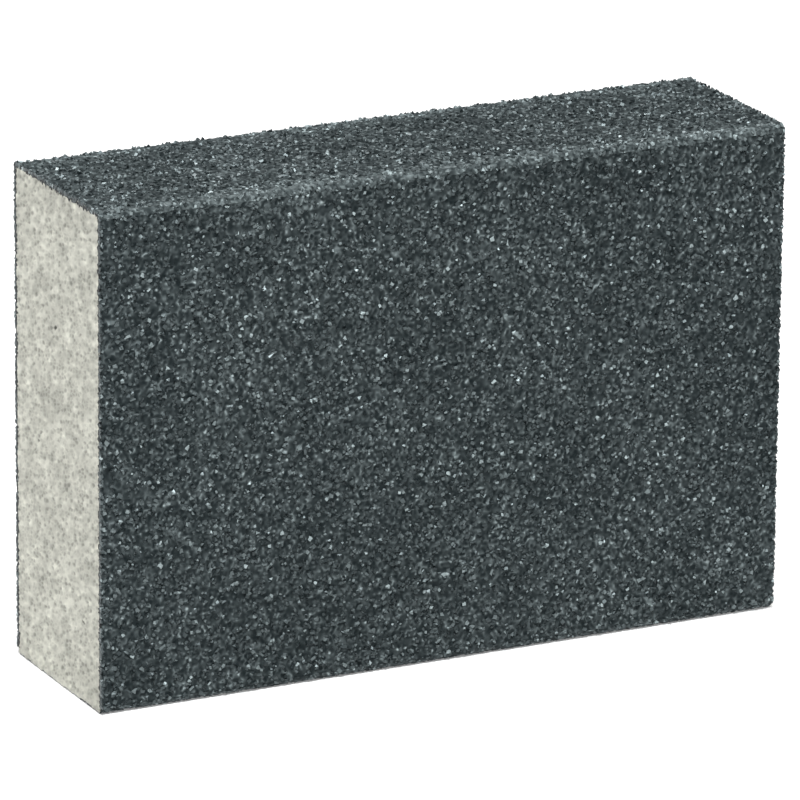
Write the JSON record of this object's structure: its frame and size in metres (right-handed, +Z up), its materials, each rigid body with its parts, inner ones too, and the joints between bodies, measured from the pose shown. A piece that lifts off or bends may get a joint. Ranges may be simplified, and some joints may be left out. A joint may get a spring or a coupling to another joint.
{
  "type": "sanding block",
  "caption": "Rectangular foam sanding block standing on a long edge, grit coated on its two broad faces and two long edges, with bare foam at both cut ends.",
  "frame": {"origin": "middle of the flat area that the block stands on, halfway along and halfway through it", "axes": "+X along the bar from one cut end to the other, +Y from the front face to the back face, +Z up"},
  "size_m": [0.1, 0.027, 0.068],
  "materials": {
    "foam": "matt fine-celled cut foam, light grey beige",
    "make_resin": "cured resin film, dark grey, satin",
    "abrasive_grain": "angular mineral grains, dark blue grey, glassy facets",
    "size_resin": "cured resin film between the grains, dark blue grey, semi-gloss"
  },
  "bodies": {
    "root": {"foam_core": "foam", "front_face_make_coat": "make_resin", "back_face_make_coat": "make_resin", "top_edge_make_coat": "make_resin", "bottom_edge_make_coat": "make_resin", "front_face_grain_layer": "abrasive_grain", "back_face_grain_layer": "abrasive_grain", "top_edge_grain_layer": "abrasive_grain", "bottom_edge_grain_layer": "abrasive_grain", "front_face_size_coat": "size_resin", "back_face_size_coat": "size_resin", "top_edge_size_coat": "size_resin", "bottom_edge_size_coat": "size_resin"}
  },
  "joints": []
}
